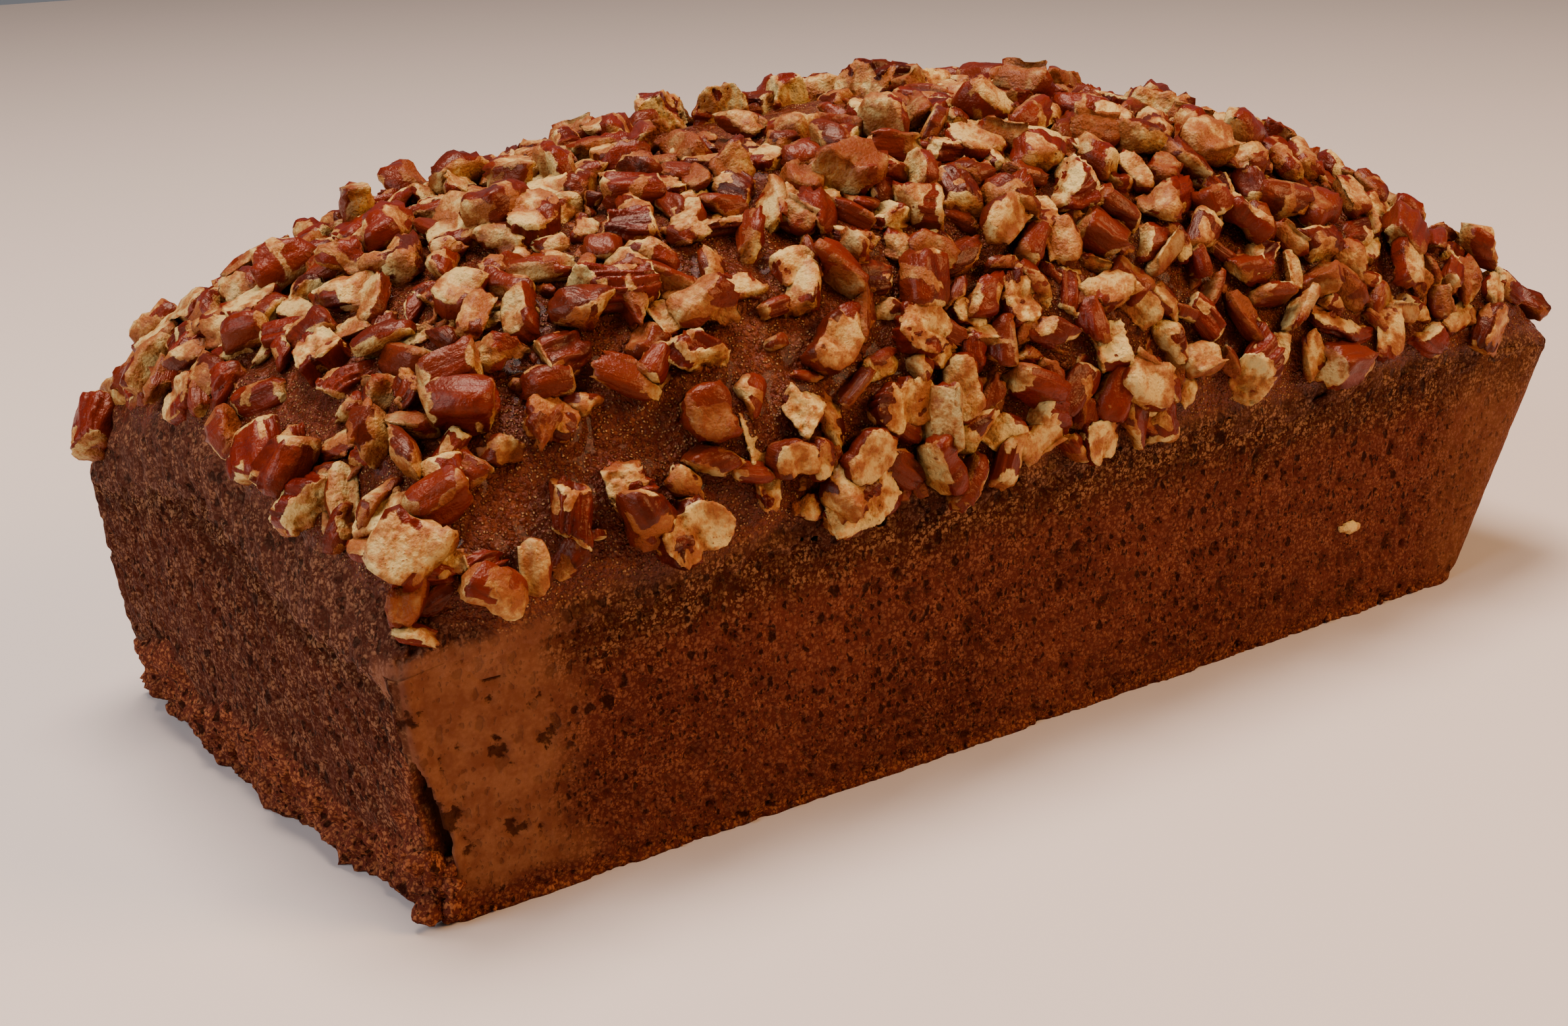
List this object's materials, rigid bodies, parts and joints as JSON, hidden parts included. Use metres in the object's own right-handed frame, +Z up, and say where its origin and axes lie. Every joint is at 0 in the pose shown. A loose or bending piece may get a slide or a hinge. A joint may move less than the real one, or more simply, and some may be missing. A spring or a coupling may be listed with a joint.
{
  "type": "loaf_cake",
  "caption": "Rectangular banana bread baked in a tin, its domed brown crust covered with chopped pecans, uncut",
  "frame": {"origin": "middle of the flat base of the loaf, on the face it rests on", "axes": "+X along the loaf's length towards its far end, +Y across towards the back, +Z up through the dome"},
  "size_m": [0.2397, 0.1138, 0.0941],
  "materials": {
    "crust": "food: baked brown crust over porous brown crumb, sticky glossy on top and matt on the sides; leather is the nearest look in the list",
    "pecan": "food: chopped pecan kernel, reddish-brown ridged skin and cream broken faces, lightly glazed; wood is the nearest look in the list"
  },
  "bodies": {
    "root": {"loaf": "crust", "pecan_01": "pecan", "pecan_02": "pecan", "pecan_03": "pecan", "pecan_04": "pecan", "pecan_05": "pecan", "pecan_06": "pecan", "pecan_07": "pecan", "pecan_08": "pecan", "pecan_09": "pecan", "pecan_10": "pecan", "pecan_11": "pecan", "pecan_12": "pecan", "pecan_13": "pecan", "pecan_14": "pecan", "pecan_15": "pecan", "pecan_16": "pecan", "pecan_17": "pecan", "pecan_18": "pecan", "pecan_19": "pecan", "pecan_20": "pecan", "pecan_21": "pecan", "pecan_22": "pecan", "pecan_23": "pecan", "pecan_24": "pecan", "pecan_25": "pecan", "pecan_26": "pecan", "pecan_27": "pecan", "pecan_28": "pecan", "pecan_29": "pecan", "pecan_30": "pecan", "pecan_31": "pecan", "pecan_32": "pecan", "pecan_33": "pecan", "pecan_34": "pecan", "pecan_35": "pecan", "pecan_36": "pecan", "pecan_37": "pecan", "pecan_38": "pecan", "pecan_39": "pecan", "pecan_40": "pecan", "pecan_41": "pecan", "pecan_42": "pecan", "pecan_43": "pecan", "pecan_44": "pecan", "pecan_45": "pecan", "pecan_46": "pecan", "pecan_47": "pecan", "pecan_48": "pecan", "pecan_49": "pecan", "pecan_50": "pecan", "pecan_51": "pecan", "pecan_52": "pecan", "pecan_53": "pecan", "pecan_54": "pecan", "pecan_55": "pecan", "pecan_56": "pecan", "pecan_57": "pecan", "pecan_58": "pecan"}
  },
  "joints": []
}
